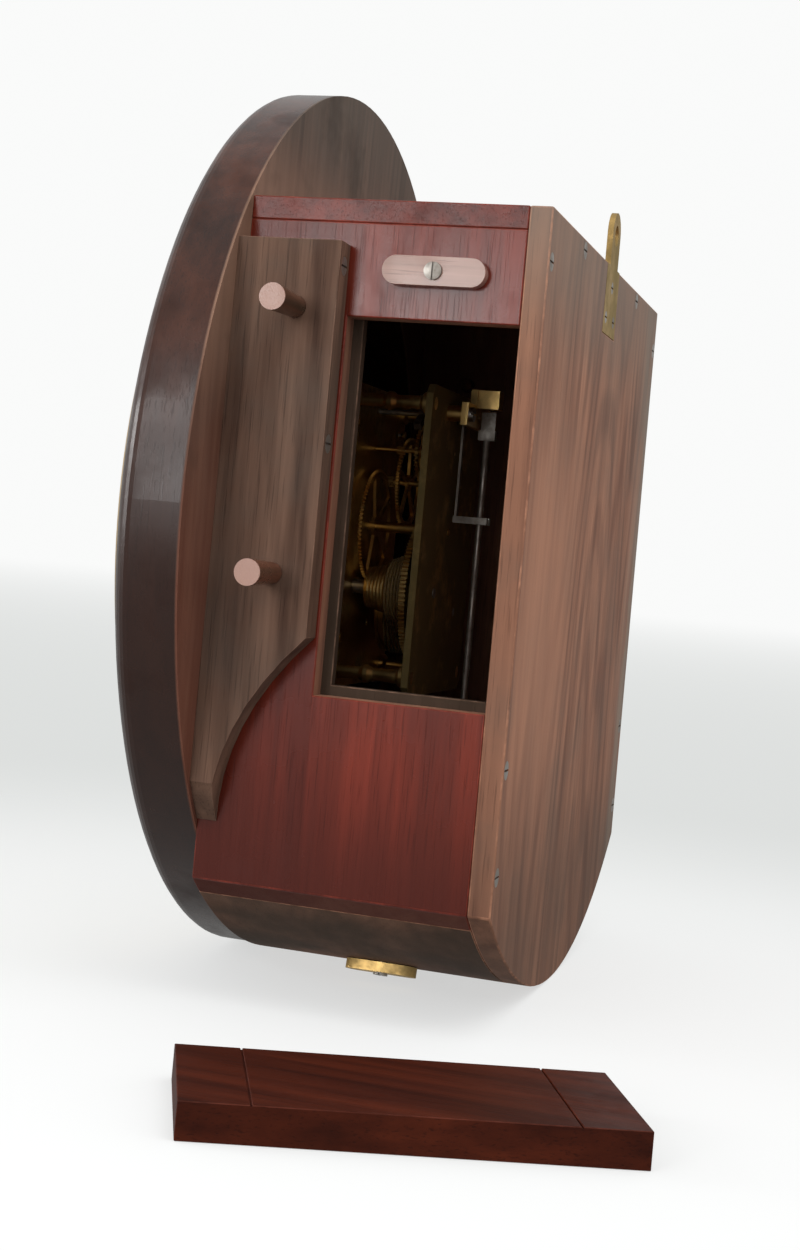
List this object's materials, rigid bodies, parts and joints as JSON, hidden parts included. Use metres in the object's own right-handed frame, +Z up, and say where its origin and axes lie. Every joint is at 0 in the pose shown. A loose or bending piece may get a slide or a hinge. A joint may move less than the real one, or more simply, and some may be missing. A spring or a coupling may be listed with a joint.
{
  "type": "gallery clock",
  "caption": "Round dial wall clock: turned surround, hinged glazed bezel, pegged box with a lift-out side door, fusee movement and short pendulum.",
  "frame": {"origin": "middle of the hanging hole, on the plane that touches the wall", "axes": "+Y towards the wall, +Z up, +X to the right seen from the dial side"},
  "size_m": [0.5037, 0.2362, 0.38],
  "materials": {
    "mahogany": "polished red mahogany, worn",
    "raw_wood": "bare, dusty and aged",
    "brass": "lacquered, aged",
    "steel": "grained",
    "blued_steel": "blued, polished",
    "dial_paint": "off-white paint with a plain numeral ring",
    "glass": "flat and clear",
    "gut": "waxed gut line"
  },
  "bodies": {
    "case": {"dial_surround": "mahogany", "cheek_right": "raw_wood", "cheek_left": "raw_wood", "cheek_screws": "steel", "box_side_right": "mahogany", "box_side_left": "mahogany", "box_top": "mahogany", "box_bottom": "raw_wood", "back_board": "raw_wood", "back_screws": "steel", "hanging_plate": "brass", "hanging_screws": "steel", "door_stops": "raw_wood", "side_button_screw": "steel", "bottom_hinge_fixed": "brass", "bottom_button_screw": "steel", "dial_plate": "dial_paint", "dial_screws": "steel", "dial_feet": "brass", "foot_pins": "steel", "bezel_hinge": "brass", "bezel_catch": "brass", "front_plate": "brass", "back_plate": "brass", "plate_pillars": "brass", "pillar_pins": "steel", "barrel_arbor": "steel", "setup_ratchet": "steel", "setup_click": "steel", "gut_line": "gut", "back_cock": "brass", "cock_screws": "steel"},
    "bezel": {"bezel_ring": "brass", "bezel_glass": "glass"},
    "side_door": {"side_door": "mahogany"},
    "side_button": {"side_button": "mahogany"},
    "bottom_door": {"bottom_door": "raw_wood", "bottom_hinge_moving": "brass"},
    "bottom_button": {"bottom_button": "brass"},
    "peg_upper_right": {"peg_upper_right": "mahogany"},
    "peg_lower_right": {"peg_lower_right": "mahogany"},
    "peg_upper_left": {"peg_upper_left": "mahogany"},
    "peg_lower_left": {"peg_lower_left": "mahogany"},
    "minute_train": {"centre_wheel": "brass", "cannon_wheel": "brass", "minute_hand": "blued_steel", "hand_collet": "brass"},
    "hour_train": {"hour_wheel": "brass", "hour_hand": "blued_steel"},
    "minute_wheel": {"minute_wheel": "brass"},
    "fusee": {"fusee": "brass", "fusee_arbor": "steel", "great_wheel": "brass"},
    "barrel": {"barrel": "brass"},
    "third_wheel": {"third_wheel": "brass"},
    "escape_wheel": {"escape_wheel": "brass"},
    "pallets": {"pallets": "steel"},
    "pendulum": {"pendulum_rod": "steel", "pendulum_bob": "brass"},
    "rating_nut": {"rating_nut": "brass"}
  },
  "joints": [
    {"name": "minute_turn", "type": "hinge", "parent": "case", "child": "minute_train", "pos_m": [0, -0.118, -0.136], "axis": [0, 1, 0], "continuous": true},
    {"name": "hour_turn", "type": "hinge", "parent": "case", "child": "hour_train", "pos_m": [0, -0.118, -0.136], "axis": [0, 1, 0], "continuous": true},
    {"name": "minute_wheel_turn", "type": "hinge", "parent": "case", "child": "minute_wheel", "pos_m": [0.01527, -0.118, -0.12073], "axis": [0, 1, 0], "continuous": true},
    {"name": "fusee_turn", "type": "hinge", "parent": "case", "child": "fusee", "pos_m": [0.01699, -0.088, -0.1634], "axis": [0, 1, 0], "continuous": true},
    {"name": "barrel_turn", "type": "hinge", "parent": "case", "child": "barrel", "pos_m": [-0.024, -0.088, -0.172], "axis": [0, 1, 0], "continuous": true},
    {"name": "third_wheel_turn", "type": "hinge", "parent": "case", "child": "third_wheel", "pos_m": [-0.01729, -0.088, -0.11487], "axis": [0, 1, 0], "continuous": true},
    {"name": "escape_wheel_turn", "type": "hinge", "parent": "case", "child": "escape_wheel", "pos_m": [0, -0.088, -0.10087], "axis": [0, 1, 0], "continuous": true},
    {"name": "pendulum_swing", "type": "hinge", "parent": "case", "child": "pendulum", "pos_m": [0, -0.05, -0.0839], "axis": [0, 1, 0], "range_deg": [-4, 4]},
    {"name": "pallets_rock", "type": "hinge", "parent": "case", "child": "pallets", "pos_m": [0, -0.078, -0.0839], "axis": [0, 1, 0], "range_deg": [-4, 4]},
    {"name": "rating_nut_turn", "type": "hinge", "parent": "pendulum", "child": "rating_nut", "pos_m": [0, -0.05, -0.2959], "axis": [0, 0, 1], "continuous": true},
    {"name": "bezel_open", "type": "hinge", "parent": "case", "child": "bezel", "pos_m": [-0.1715, -0.1512, -0.136], "axis": [0, 0, -1], "range_deg": [0, 110]},
    {"name": "side_button_turn", "type": "hinge", "parent": "case", "child": "side_button", "pos_m": [0.1443, -0.0425, -0.041], "axis": [1, 0, 0], "range_deg": [-90, 90]},
    {"name": "bottom_door_open", "type": "hinge", "parent": "case", "child": "bottom_door", "pos_m": [-0.06, -0.059, -0.31941], "axis": [0, 1, 0], "range_deg": [0, 95]},
    {"name": "bottom_button_turn", "type": "hinge", "parent": "case", "child": "bottom_button", "pos_m": [0.068, -0.059, -0.31624], "axis": [0.2786, 0, -0.9604], "range_deg": [0, 90]},
    {"name": "side_door_lift", "type": "slide", "parent": "case", "child": "side_door", "axis": [0, 0, 1], "range_m": [0, 0.12]},
    {"name": "peg_upper_right_pull", "type": "slide", "parent": "case", "child": "peg_upper_right", "axis": [1, 0, 0], "range_m": [0, 0.045]},
    {"name": "peg_lower_right_pull", "type": "slide", "parent": "case", "child": "peg_lower_right", "axis": [1, 0, 0], "range_m": [0, 0.045]},
    {"name": "peg_upper_left_pull", "type": "slide", "parent": "case", "child": "peg_upper_left", "axis": [-1, 0, 0], "range_m": [0, 0.045]},
    {"name": "peg_lower_left_pull", "type": "slide", "parent": "case", "child": "peg_lower_left", "axis": [-1, 0, 0], "range_m": [0, 0.045]}
  ],
  "couplings": [
    {"joint": "hour_turn", "follows": "minute_turn", "ratio": 0.083333},
    {"joint": "minute_wheel_turn", "follows": "minute_turn", "ratio": -1},
    {"joint": "fusee_turn", "follows": "minute_turn", "ratio": -0.083333},
    {"joint": "barrel_turn", "follows": "minute_turn", "ratio": -0.055758},
    {"joint": "third_wheel_turn", "follows": "minute_turn", "ratio": -12},
    {"joint": "escape_wheel_turn", "follows": "minute_turn", "ratio": 140.57},
    {"joint": "pallets_rock", "follows": "pendulum_swing", "ratio": 1}
  ]
}
